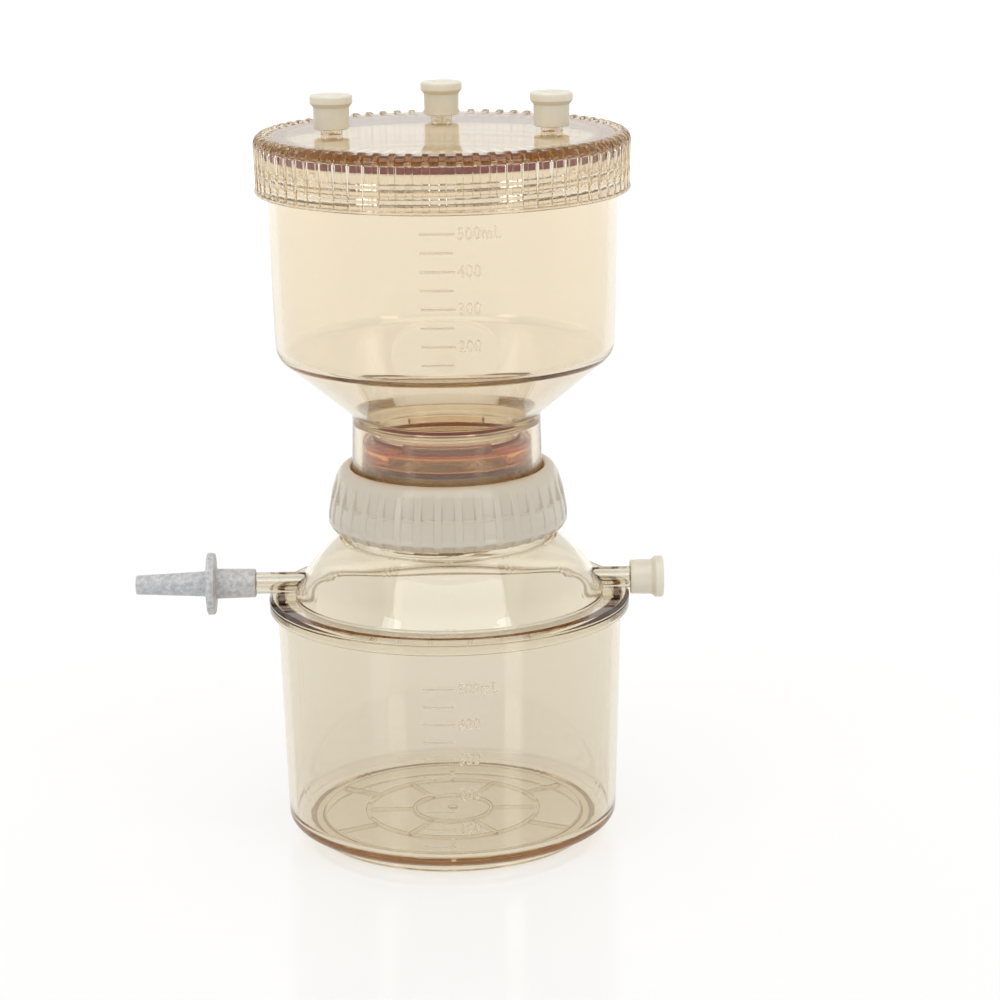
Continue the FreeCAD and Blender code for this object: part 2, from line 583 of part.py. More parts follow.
# ---------------------------------------------------------------- cover
cover = new_body("cover")
outline = new_sketch(cover, "cover_profile")
polygon(outline, [
    ("cover_bore", "cover_under"),
    ("cover_bead_radius", "cover_under"),
    ("cover_bead_radius", "cover_bead_top"),
    ("cover_skirt_radius", "cover_bead_top"),
    ("cover_skirt_radius", "cover_top"),
    ("0", "cover_top"),
    ("0", "cover_plate_under"),
    ("gasket_rib_inner", "cover_plate_under"),
    ("gasket_rib_inner", "gasket_rib_under"),
    ("gasket_rib_outer", "gasket_rib_under"),
    ("gasket_rib_outer", "cover_plate_under"),
    ("cover_bore", "cover_plate_under"),
])
shell = revolve(cover, "cover_shell", outline)
shell = round_over(cover, "cover_top_corner", shell, "cover_corner", [("cover_skirt_radius", "cover_top")])
rib_sketch = new_sketch(cover, "grip_rib_outline")
polygon(rib_sketch, [
    ("cover_rib_root_radius", "cover_bead_top - 0.5"),
    ("cover_rib_radius", "cover_bead_top - 0.5"),
    ("cover_rib_radius", "cover_rib_shoulder"),
    ("cover_rib_crest_radius", "cover_rib_crest"),
    ("cover_rib_end_radius", "cover_rib_top"),
    ("cover_rib_end_radius - 0.9", "cover_top - 0.1"),
    ("cover_rib_end_radius - 0.9", "cover_rib_root"),
    ("cover_rib_root_radius", "cover_rib_root"),
])
rib = revolve(cover, "grip_rib", rib_sketch, angle="cover_rib_angle")
around(cover, "grip_ribs", rib, 72, "cover_ribs")
tube_sketch = new_sketch(cover, "port_tube_outline", "XY_Plane", shift="port_root")
circle(tube_sketch, "port_radius", "0", "port_tube", "_right")
circle(tube_sketch, "0 - port_radius", "0", "port_tube", "_left")
circle(tube_sketch, "0", "port_radius", "port_tube", "_back")
extrude(cover, "port_tubes", tube_sketch, "port_top - port_root")
bore_sketch = new_sketch(cover, "port_bore_outline", "XY_Plane", shift="cover_plate_under - 1")
circle(bore_sketch, "port_radius", "0", "port_bore", "_right")
circle(bore_sketch, "0 - port_radius", "0", "port_bore", "_left")
circle(bore_sketch, "0", "port_radius", "port_bore", "_back")
before = cover.Shape.Volume
extrude(cover, "port_bores", bore_sketch, "port_top - cover_plate_under + 2", cut=True, reverse=True)
if cover.Shape.Volume > before - 300.0:
    raise RuntimeError("the ports have no bores")
SUBPARTS.append(cover)


# ---------------------------------------------------------------- caps
def add_cap(label):
    body = new_body(label)
    sketch = new_sketch(body, label + "_profile")
    polygon(sketch, [
        ("cap_bore", "0"),
        ("cap_body_foot", "0"),
        ("cap_body_head", "cap_body_length"),
        ("cap_flange", "cap_flange_start"),
        ("cap_flange", "cap_length"),
        ("cap_drive_radius", "cap_length"),
        ("cap_drive_radius", "cap_length - cap_drive_depth"),
        ("0", "cap_length - cap_drive_depth"),
        ("0", "cap_bore_depth"),
        ("cap_bore", "cap_bore_depth"),
    ])
    turned = revolve(body, label + "_turned", sketch)
    round_over(body, label + "_round", turned, "cap_round", [("cap_flange", "cap_length")])
    SUBPARTS.append(body)
    return body


for label, x, y in (("port_cap_left", "0 - port_radius", "0"), ("port_cap_back", "0", "port_radius"),
                    ("port_cap_right", "port_radius", "0")):
    cap = add_cap(label)
    cap.Placement = Placement(Vector(number_of(x), number_of(y), number_of("cap_seat")), Rotation())
    cap.setExpression("Placement.Base.x", bound(x))
    cap.setExpression("Placement.Base.y", bound(y))
    cap.setExpression("Placement.Base.z", bound("cap_seat"))
arm_cap = add_cap("side_arm_cap")
arm_cap.Placement = Placement(Vector(number_of("cap_arm_seat"), 0, number_of("arm_height")), Rotation(Vector(0, 1, 0), 90))
arm_cap.setExpression("Placement.Base.x", bound("cap_arm_seat"))
arm_cap.setExpression("Placement.Base.z", bound("arm_height"))

# ---------------------------------------------------------------- tubing adapter
adapter = new_body("tubing_adapter")
outline = new_sketch(adapter, "adapter_profile")
polygon(outline, [
    ("adapter_socket", "0"),
    ("adapter_hub_foot", "0"),
    ("adapter_hub_head", "adapter_hub_length"),
    ("adapter_disc", "adapter_disc_start"),
    ("adapter_disc", "adapter_disc_end"),
    ("adapter_stem_root", "adapter_disc_back"),
    ("adapter_stem_tip", "adapter_length"),
    ("adapter_bore", "adapter_length"),
    ("adapter_bore", "adapter_socket_depth"),
    ("adapter_socket", "adapter_socket_depth"),
])
revolve(adapter, "adapter_turned", outline)
adapter.Placement = Placement(Vector(-number_of("adapter_seat"), 0, number_of("arm_height")),
                              Rotation(Vector(0, 1, 0), -90))
adapter.setExpression("Placement.Base.x", bound("0 - adapter_seat"))
adapter.setExpression("Placement.Base.z", bound("arm_height"))
SUBPARTS.append(adapter)

# ---------------------------------------------------------------- gaskets
cover_gasket = new_body("cover_gasket")
outline = new_sketch(cover_gasket, "cover_gasket_profile")
polygon(outline, [
    ("cover_gasket_inner", "chamber_rim"),
    ("cover_gasket_outer", "chamber_rim"),
    ("cover_gasket_outer", "cover_plate_under"),
    ("cover_gasket_inner", "cover_plate_under"),
])
revolve(cover_gasket, "cover_gasket_ring", outline)
SUBPARTS.append(cover_gasket)

gasket = new_body("chamber_gasket")
outline = new_sketch(gasket, "chamber_gasket_profile")
polygon(outline, [
    ("gasket_inner", "gasket_under"),
    ("gasket_outer", "gasket_under"),
    ("gasket_outer", "spigot_under"),
    ("gasket_inner", "spigot_under"),
])
revolve(gasket, "chamber_gasket_ring", outline)
lug = new_sketch(gasket, "gasket_lug_outline", turn="0 - 90")
polygon(lug, [
    ("gasket_lug_root + 0.3", "gasket_lug_under"),
    ("gasket_lug_outer", "gasket_lug_under"),
    ("gasket_lug_outer", "gasket_lug_top"),
    ("gasket_lug_root + 0.5", "gasket_lug_top"),
    ("gasket_lug_root", "gasket_lug_top - 0.2"),
    ("gasket_lug_root", "gasket_under + 0.2"),
    ("gasket_lug_root + 0.3", "gasket_under"),
])
lug = revolve(gasket, "gasket_lug", lug, angle="gasket_lug_angle")
around(gasket, "gasket_lugs", lug, 2)
SUBPARTS.append(gasket)

# ---------------------------------------------------------------- support plate
plate = new_body("support_plate")
outline = new_sketch(plate, "plate_profile")
polygon(outline, [
    ("0", "plate_web_under"),
    ("plate_boss_inner", "plate_web_under"),
    ("plate_boss_inner", "plate_boss_under"),
    ("plate_boss_outer", "plate_boss_under"),
    ("plate_boss_outer", "plate_under"),
    ("plate_radius", "plate_under"),
    ("plate_radius", "plate_rim_top"),
    ("plate_seat_radius", "plate_rim_top"),
    ("plate_seat_radius", "plate_seat"),
    ("0", "plate_seat"),
])
revolve(plate, "plate_disc", outline)
tab_sketch = new_sketch(plate, "lifting_tab_outline", turn="0 - 90")
polygon(tab_sketch, [
    ("plate_tab_inner", "plate_rim_top - 0.5"),
    ("plate_radius", "plate_rim_top - 0.5"),
    ("plate_radius", "plate_tab_top"),
    ("plate_tab_inner", "plate_tab_top"),
])
tab = revolve(plate, "lifting_tab", tab_sketch, angle="plate_tab_angle")
around(plate, "lifting_tabs", tab, 2)
pocket_sketch = new_sketch(plate, "lug_pocket_outline", turn="0 - 90")
polygon(pocket_sketch, [
    ("plate_seat_radius - 0.1", "plate_pocket_floor"),
    ("plate_pocket_radius", "plate_pocket_floor"),
    ("plate_pocket_radius", "plate_rim_top + 1"),
    ("plate_seat_radius - 0.1", "plate_rim_top + 1"),
])
pocket = revolve(plate, "lug_pocket", pocket_sketch, cut=True, angle="plate_pocket_angle")
around(plate, "lug_pockets", pocket, 2)
centre_sketch = new_sketch(plate, "centre_hole_outline", "XY_Plane", shift="plate_web_under - 1")
circle(centre_sketch, "0", "0", "plate_hole")
extrude(plate, "centre_hole", centre_sketch, "plate_seat - plate_web_under + 2", cut=True, reverse=True)
for k, count in ((1, 6), (2, 12)):
    hole_sketch = new_sketch(plate, "hole_outline_%d" % k, "XY_Plane", shift="plate_web_under - 1")
    circle(hole_sketch, " + ".join(["plate_hole_step"] * k), "0", "plate_hole")
    hole = extrude(plate, "hole_%d" % k, hole_sketch, "plate_seat - plate_web_under + 2", cut=True, reverse=True)
    around(plate, "holes_%d" % k, hole, count)
SUBPARTS.append(plate)

# ---------------------------------------------------------------- plate O-ring
seal = new_body("support_plate_o_ring")
outline = new_sketch(seal, "o_ring_section")
circle(outline, "seal_radius", "seal_height", "seal_section")
revolve(seal, "o_ring", outline)
SUBPARTS.append(seal)

# ---------------------------------------------------------------- checks and export
doc.recompute()
for item in doc.Objects:
    if "Invalid" in item.State or "Error" in item.State:
        raise RuntimeError("%s is %s" % (item.Name, item.State))
for body in SUBPARTS:
    shape = body.Shape
    if shape.isNull() or not shape.isValid():
        raise RuntimeError("%s has no valid shape" % body.Label)

os.makedirs("parts", exist_ok=True)
for body in SUBPARTS:
    body.Shape.exportStep("parts/%s.step" % body.Label)
    box = body.Shape.BoundBox
    print("%-22s %2d solid  %9.1f mm3   x %.1f %.1f  y %.1f %.1f  z %.1f %.1f" % (
        body.Label, len(body.Shape.Solids), body.Shape.Volume, box.XMin, box.XMax, box.YMin, box.YMax, box.ZMin, box.ZMax))
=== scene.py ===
import math
import bmesh
import bpy
from mathutils import Matrix, Vector


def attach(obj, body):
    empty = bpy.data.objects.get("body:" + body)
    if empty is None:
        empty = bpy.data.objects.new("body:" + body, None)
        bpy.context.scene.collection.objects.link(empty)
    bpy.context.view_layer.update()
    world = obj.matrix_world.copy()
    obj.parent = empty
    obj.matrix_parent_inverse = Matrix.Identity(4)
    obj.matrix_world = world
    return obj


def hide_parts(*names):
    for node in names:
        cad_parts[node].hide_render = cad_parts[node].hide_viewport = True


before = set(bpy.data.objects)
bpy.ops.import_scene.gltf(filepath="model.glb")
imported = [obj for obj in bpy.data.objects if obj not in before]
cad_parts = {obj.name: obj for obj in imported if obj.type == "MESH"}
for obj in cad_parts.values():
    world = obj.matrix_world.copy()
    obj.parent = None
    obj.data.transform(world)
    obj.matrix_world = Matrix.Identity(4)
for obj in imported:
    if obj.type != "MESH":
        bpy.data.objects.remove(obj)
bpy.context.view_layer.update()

MM = 0.001
TAU = 2 * math.pi
scene = bpy.context.scene


# ------------------------------------------------------------------ camera
def unit(v):
    return v / v.length


def make_camera():
    pitch, pan, roll = math.radians(14.027), math.radians(1.026), math.radians(-0.704)
    forward = Vector((math.sin(pan) * math.cos(pitch), math.cos(pan) * math.cos(pitch), -math.sin(pitch)))
    right = unit(forward.cross(Vector((0, 0, 1))))
    up = right.cross(forward)
    r = math.cos(roll) * right + math.sin(roll) * up
    u = -math.sin(roll) * right + math.cos(roll) * up
    data = bpy.data.cameras.new("camera")
    data.sensor_width = 36.0
    data.lens = 2998.4 / 1000 * 36.0
    data.clip_start, data.clip_end = 0.05, 30.0
    cam = bpy.data.objects.new("camera", data)
    cam.matrix_world = Matrix((
        (r.x, u.x, -forward.x, 0.0),
        (r.y, u.y, -forward.y, -0.94386),
        (r.z, u.z, -forward.z, 0.34637),
        (0, 0, 0, 1)))
    scene.collection.objects.link(cam)
    scene.camera = cam


make_camera()


# ------------------------------------------------------------------ outlines
def rounded(points, step=12.0):
    """Outline through (r, z) or (r, z, radius) points, in mm; a third number rounds that corner."""
    out = []
    n = len(points)
    for i, p in enumerate(points):
        radius = p[2] if len(p) > 2 else 0.0
        if radius <= 0:
            out.append((p[0], p[1]))
            continue
        a, b, c = Vector(points[i - 1][:2]), Vector(p[:2]), Vector(points[(i + 1) % n][:2])
        d1, d2 = (a - b), (c - b)
        l1, l2 = d1.length, d2.length
        d1, d2 = d1 / l1, d2 / l2
        cosine = max(-1.0, min(1.0, d1.dot(d2)))
        angle = math.acos(cosine)
        if angle > math.pi - 5e-3:
            out.append((b.x, b.y))
            continue
        reach = min(radius / math.tan(angle / 2), 0.48 * l1, 0.48 * l2)
        radius = reach * math.tan(angle / 2)
        centre = b + unit(d1 + d2) * (radius / math.sin(angle / 2))
        start, end = b + d1 * reach - centre, b + d2 * reach - centre
        t0, t1 = math.atan2(start.y, start.x), math.atan2(end.y, end.x)
        sweep = (t1 - t0 + math.pi) % TAU - math.pi
        fine = step if radius > 1.5 else max(step, 18.0) if radius > 0.7 else max(step, 26.0)
        count = max(2, int(abs(math.degrees(sweep)) / fine + 0.5))
        for k in range(count + 1):
            t = t0 + sweep * k / count
            out.append((centre.x + radius * math.cos(t), centre.y + radius * math.sin(t)))
    return out


def split_long(points, longest, closed=True, low=None, high=None, at_radius=None):
    """Adds points along edges longer than `longest`, only between the two heights if they are given."""
    out = []
    n = len(points)
    for i in range(n if closed else n - 1):
        a, b = points[i], points[(i + 1) % n]
        out.append(a)
        length = math.hypot(b[0] - a[0], b[1] - a[1])
        if low is not None and not (min(a[1], b[1]) >= low - 1e-6 and max(a[1], b[1]) <= high + 1e-6):
            continue
        if at_radius is not None and not (at_radius[0] <= min(a[0], b[0]) and max(a[0], b[0]) <= at_radius[1]):
            continue
        count = int(math.ceil(length / longest))
        for k in range(1, count):
            f = k / count
            out.append((a[0] + (b[0] - a[0]) * f, a[1] + (b[1] - a[1]) * f))
    if not closed:
        out.append(points[-1])
    return out


def mesh_object(name, verts, faces, smooth_angle=32.0, merge=0.002):
    mesh = bpy.data.meshes.new(name)
    mesh.from_pydata([(x * MM, y * MM, z * MM) for x, y, z in verts], [], faces)
    tidy(mesh, smooth_angle, merge)
    obj = bpy.data.objects.new(name, mesh)
    scene.collection.objects.link(obj)
    return obj


def tidy(mesh, smooth_angle=32.0, merge=0.002):
    bm = bmesh.new()
    bm.from_mesh(mesh)
    if merge:
        bmesh.ops.remove_doubles(bm, verts=bm.verts, dist=merge * MM)
        bmesh.ops.dissolve_degenerate(bm, edges=bm.edges, dist=1e-7)
    bmesh.ops.recalc_face_normals(bm, faces=bm.faces)
    limit = math.radians(smooth_angle)
    for f in bm.faces:
        f.smooth = True
    for e in bm.edges:
        e.smooth = not (len(e.link_faces) == 2 and e.calc_face_angle(0.0) > limit)
    bm.to_mesh(mesh)
    bm.free()


def lathe(name, outline, segments=256, closed=True, angles=None, shift=None, smooth_angle=32.0):
    """Turns an outline about Z.  Open outlines start and end on the axis.  shift(t, r, z, row) -> (r, z)."""
    if angles is None:
        angles = [TAU * k / segments for k in range(segments)]
    count = len(angles)
    verts, rows = [], []
    for j, (r, z) in enumerate(outline):
        if r < 1e-6:
            verts.append((0.0, 0.0, z))
            rows.append([len(verts) - 1] * count)
            continue
        row = []
        for t in angles:
            rr, zz = shift(t, r, z, j) if shift else (r, z)
            verts.append((rr * math.cos(t), rr * math.sin(t), zz))
            row.append(len(verts) - 1)
        rows.append(row)
    faces = []
    pairs = len(rows) if closed else len(rows) - 1
    for j in range(pairs):
        a, b = rows[j], rows[(j + 1) % len(rows)]
        for k in range(count):
            m = (k + 1) % count
            quad = [a[k], a[m], b[m], b[k]]
            corner = []
            for v in quad:
                if v not in corner:
                    corner.append(v)
            if len(corner) > 2:
                faces.append(corner)
    return mesh_object(name, verts, faces, smooth_angle)


def smoothstep(x):
    x = max(0.0, min(1.0, x))
    return x * x * (3 - 2 * x)


def ridge(distance, half, flank):
    """1 on a ridge of half-width `half`, falling to 0 over `flank`."""
    return smoothstep((half + flank - abs(distance)) / flank)


# ------------------------------------------------------------------ materials
class Nodes:
    """A few lines for wiring a material."""

    def __init__(self, name):
        self.mat = bpy.data.materials.new(name)
        self.mat.use_nodes = True
        self.tree = self.mat.node_tree
        self.tree.nodes.clear()
        self.out = self.tree.nodes.new("ShaderNodeOutputMaterial")

    def add(self, kind, **values):
        node = self.tree.nodes.new(kind)
        for key, value in values.items():
            if hasattr(node, key) and key not in node.inputs:
                setattr(node, key, value)
            else:
                node.inputs[key.replace("_", " ")].default_value = value
        return node

    def link(self, a, b):
        self.tree.links.new(a, b)


def noise(n, scale, detail=3.0, roughness=0.5, stretch=None, offset=(0, 0, 0)):
    coords = n.add("ShaderNodeTexCoord")
    mapping = n.add("ShaderNodeMapping")
    mapping.inputs["Location"].default_value = offset
    if stretch:
        mapping.inputs["Scale"].default_value = stretch
    n.link(coords.outputs["Object"], mapping.inputs["Vector"])
    tex = n.add("ShaderNodeTexNoise")
    tex.inputs["Scale"].default_value = scale
    tex.inputs["Detail"].default_value = detail
    tex.inputs["Roughness"].default_value = roughness
    n.link(mapping.outputs["Vector"], tex.inputs["Vector"])
    return tex


def ramp(n, source, stops):
    node = n.add("ShaderNodeValToRGB")
    elements = node.color_ramp.elements
    while len(elements) < len(stops):
        elements.new(0.5)
    for e, (at, colour) in zip(elements, stops):
        e.position = at
        e.color = (*colour, 1.0)
    n.link(source, node.inputs["Fac"])
    return node


def bump(n, height, strength, distance):
    node = n.add("ShaderNodeBump")
    node.inputs["Strength"].default_value = strength
    node.inputs["Distance"].default_value = distance
    n.link(height, node.inputs["Height"])
    return node


def clear_plastic(name, surface_tint, depth_tint, density, shade, roughness=0.02, wave=0.05, grain=0.0):
    """Clear amber plastic: tinted by depth, faintly wavy as a moulding is, and open to lamps so that no caustic noise builds up."""
    n = Nodes(name)
    body = n.add("ShaderNodeBsdfPrincipled")
    body.inputs["Base Color"].default_value = (*surface_tint, 1.0)
    body.inputs["Transmission Weight"].default_value = 1.0
    body.inputs["IOR"].default_value = 1.6
    body.inputs["Roughness"].default_value = roughness
    flow = noise(n, 900.0 if grain else 38.0, 0.0, 0.4, (1, 1, 1.0 if grain else 0.45))
    relief = bump(n, flow.outputs["Fac"], wave, 0.0012)
    n.link(relief.outputs["Normal"], body.inputs["Normal"])
    lamp = n.add("ShaderNodeBsdfTransparent")
    lamp.inputs["Color"].default_value = (*shade, 1.0)
    path = n.add("ShaderNodeLightPath")
    either = n.add("ShaderNodeMath", operation="MAXIMUM")
    n.link(path.outputs["Is Shadow Ray"], either.inputs[0])
    n.link(path.outputs["Is Diffuse Ray"], either.inputs[1])
    blend = n.add("ShaderNodeMixShader")
    n.link(either.outputs["Value"], blend.inputs["Fac"])
    n.link(body.outputs["BSDF"], blend.inputs[1])
    n.link(lamp.outputs["BSDF"], blend.inputs[2])
    n.link(blend.outputs["Shader"], n.out.inputs["Surface"])
    if density > 0:
        depth = n.add("ShaderNodeVolumeAbsorption")
        depth.inputs["Color"].default_value = (*depth_tint, 1.0)
        depth.inputs["Density"].default_value = density
        n.link(depth.outputs["Volume"], n.out.inputs["Volume"])
    return n.mat


def solid_plastic(name, low, high, roughness, scatter=0.0, radius=(0.004, 0.003, 0.002), scale=70.0, relief=0.06,
                  spread=(0.35, 0.65), through=0.0, speck=0.0):
    n = Nodes(name)
    body = n.add("ShaderNodeBsdfPrincipled")
    cloud = noise(n, scale, 4.0, 0.6)
    colour = ramp(n, cloud.outputs["Fac"], [(spread[0], low), (spread[1], high)])
    if speck > 0:
        dots = noise(n, 620.0, 2.0, 0.7, offset=(0.3, 0.1, 0.2))
        sparkle = ramp(n, dots.outputs["Fac"], [(0.38, tuple(c * (1 - speck) for c in low)), (0.62, tuple(min(1, c * (1 + speck)) for c in high))])
        mix = n.add("ShaderNodeMix", data_type="RGBA")
        mix.inputs[0].default_value = 0.5
        n.link(colour.outputs["Color"], mix.inputs[6])
        n.link(sparkle.outputs["Color"], mix.inputs[7])
        n.link(mix.outputs[2], body.inputs["Base Color"])
    else:
        n.link(colour.outputs["Color"], body.inputs["Base Color"])
    fine = noise(n, 420.0, 3.0, 0.6)
    rough = ramp(n, fine.outputs["Fac"], [(0.3, (roughness * 0.85,) * 3), (0.7, (min(1.0, roughness * 1.15),) * 3)])
    n.link(rough.outputs["Color"], body.inputs["Roughness"])
    skin = bump(n, fine.outputs["Fac"], relief, 0.0006)
    n.link(skin.outputs["Normal"], body.inputs["Normal"])
    body.inputs["IOR"].default_value = 1.5
    if scatter > 0:
        body.inputs["Subsurface Weight"].default_value = scatter
        body.inputs["Subsurface Radius"].default_value = radius
        body.inputs["Subsurface Scale"].default_value = 1.0
    if through > 0:
        body.inputs["Transmission Weight"].default_value = through
    n.link(body.outputs["BSDF"], n.out.inputs["Surface"])
    return n.mat


CHAMBER = clear_plastic("chamber_plastic", (0.925, 0.870, 0.782), (0.925, 0.865, 0.71), 100.0, (0.95, 0.91, 0.83), wave=0.02)
RECEIVER = clear_plastic("receiver_plastic", (0.864, 0.834, 0.768), (0.91, 0.835, 0.65), 100.0, (0.93, 0.90, 0.84), wave=0.008)
COVER = clear_plastic("cover_plastic", (0.952, 0.912, 0.845), (0.90, 0.82, 0.64), 100.0, (0.95, 0.91, 0.83), roughness=0.015, wave=0.02)
PLATE = clear_plastic("plate_plastic", (1.0, 0.98, 0.94), (0.94, 0.62, 0.10), 120.0, (0.93, 0.84, 0.68), roughness=0.08, wave=0.03, grain=0.1)
MARK = clear_plastic("mark_plastic", (0.99, 0.97, 0.93), (0.95, 0.70, 0.25), 60.0, (0.95, 0.92, 0.86), roughness=0.34, wave=0.01)
COLLAR = solid_plastic("collar_plastic", (0.605, 0.552, 0.462), (0.622, 0.568, 0.478), 0.21, scatter=0.0, relief=0.03)
CAP = solid_plastic("cap_plastic", (0.745, 0.705, 0.595), (0.785, 0.745, 0.640), 0.36, scatter=0.25, radius=(0.004, 0.0035, 0.0025))
ADAPTER = solid_plastic("adapter_plastic", (0.465, 0.475, 0.49), (0.615, 0.62, 0.635), 0.42, scatter=0.15, scale=760.0,
                        spread=(0.32, 0.68), relief=0.16, speck=0.18)
SILICONE = solid_plastic("red_silicone", (0.175, 0.018, 0.006), (0.215, 0.026, 0.009), 0.50, scatter=0.0, relief=0.10)


def weigh_normals(obj):
    """Large faces keep their own direction, so that a flat stays flat beside a small fillet."""
    mod = obj.modifiers.new("normals", "WEIGHTED_NORMAL")
    mod.mode = "FACE_AREA"
    mod.weight = 50
    mod.keep_sharp = True
    dg = bpy.context.evaluated_depsgraph_get()
    made = bpy.data.meshes.new_from_object(obj.evaluated_get(dg))
    obj.modifiers.clear()
    obj.data = made


def dress(obj, material, slot, body, *nodes):
    weigh_normals(obj)
    obj.data.materials.clear()
    obj.data.materials.append(material)
    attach(obj, body)
    if nodes:
        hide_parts(*nodes)
    return obj


# ------------------------------------------------------------------ booleans
def boolean(target, tools, operation):
    for tool in tools:
        mod = target.modifiers.new("op", "BOOLEAN")
        mod.operation = operation
        mod.solver = "EXACT"
        mod.object = tool
    dg = bpy.context.evaluated_depsgraph_get()
    made = bpy.data.meshes.new_from_object(target.evaluated_get(dg))
    target.modifiers.clear()
    target.data = made
    for tool in tools:
        bpy.data.objects.remove(tool, do_unlink=True)
    return target


def rod(name, radius, start, end, axis, centre=(0, 0, 0), sides=72):
    """A plain cylinder used only as a cutter or to be joined to a wall."""
    verts, faces = [], []
    for along in (start, end):
        for k in range(sides):
            t = TAU * (k + 0.5) / sides
            a, b = radius * math.cos(t), radius * math.sin(t)
            if axis == "x":
                verts.append((centre[0] + along, centre[1] + a, centre[2] + b))
            else:
                verts.append((centre[0] + a, centre[1] + b, centre[2] + along))
    for k in range(sides):
        m = (k + 1) % sides
        faces.append([k, m, sides + m, sides + k])
    faces.append(list(range(sides))[::-1])
    faces.append(list(range(sides, 2 * sides)))
    return mesh_object(name, verts, faces, merge=0)


def block(name, low, high):
    x0, y0, z0 = low
    x1, y1, z1 = high
    verts = [(x0, y0, z0), (x1, y0, z0), (x1, y1, z0), (x0, y1, z0), (x0, y0, z1), (x1, y0, z1), (x1, y1, z1), (x0, y1, z1)]
    faces = [[0, 3, 2, 1], [4, 5, 6, 7], [0, 1, 5, 4], [1, 2, 6, 5], [2, 3, 7, 6], [3, 0, 4, 7]]
    return mesh_object(name, verts, faces, merge=0)


# ------------------------------------------------------------------ receiver
NECK_LEAD, NECK_STARTS = 12.0, 3
COVER_LEAD = 4.4


def helix_offset(t, z, lead, starts, at):
    """Axial distance from the nearest of the thread's ridges; the ridge passes height `at` at t = 0."""
    pitch = lead / starts
    d = (z - at - lead * t / TAU) / pitch
    return (d - round(d)) * pitch


def curve_through(points, pieces=7):
    """Smooth curve through the points, without its first and last one."""
    ends = [tuple(2 * points[0][i] - points[1][i] for i in (0, 1))] + list(points) + [tuple(2 * points[-1][i] - points[-2][i] for i in (0, 1))]
    out = []
    for k in range(1, len(ends) - 2):
        a, b, c, d = ends[k - 1:k + 3]
        for j in range(pieces):
            u = j / pieces
            out.append(tuple(0.5 * (2 * b[i] + (c[i] - a[i]) * u + (2 * a[i] - 5 * b[i] + 4 * c[i] - d[i]) * u * u
                                    + (3 * b[i] - a[i] - 3 * c[i] + d[i]) * u ** 3) for i in (0, 1)))
    return out[1:]


CONE_OUTSIDE = [(50.3, 81.5), (47.6, 86.2), (44.0, 91.0), (40.0, 95.3), (35.5, 99.8)]
CONE_INSIDE = [(31.5, 99.3), (38.2, 93.5), (42.1, 89.4), (45.5, 84.9), (49.8, 79.2)]


def helix_ridge(name, wall, at, lead, first, last, height, root=1.1, crest=0.42, sink=0.4, inward=False, step=1.25):
    """A screw thread's ridge, sunk a little into its wall; angles in degrees, tapering out at both ends."""
    side = -1.0 if inward else 1.0
    count = int((last - first) / step)
    verts, faces = [], []
    for k in range(count + 1):
        deg = first + (last - first) * k / count
        t = math.radians(deg + 0.31)
        z = at + lead * deg / 360.0
        grow = smoothstep(min(deg - first, last - deg) / 14.0)
        tip = -0.5 * sink + (height + 0.5 * sink) * grow
        for out, up in ((-sink, -root), (tip * 0.35 - 0.1, -root * 0.86), (tip, -crest), (tip, crest), (tip * 0.35 - 0.1, root * 0.86), (-sink, root)):
            r = wall + side * out
            verts.append((r * math.cos(t), r * math.sin(t), z + up))
    m = 6
    for k in range(count):
        for j in range(m):
            a, b = k * m + j, k * m + (j + 1) % m
            faces.append([a, b, b + m, a + m])
    faces.append(list(range(m))[::-1])
    faces.append([count * m + j for j in range(m)])
    return mesh_object(name, verts, faces, merge=0)


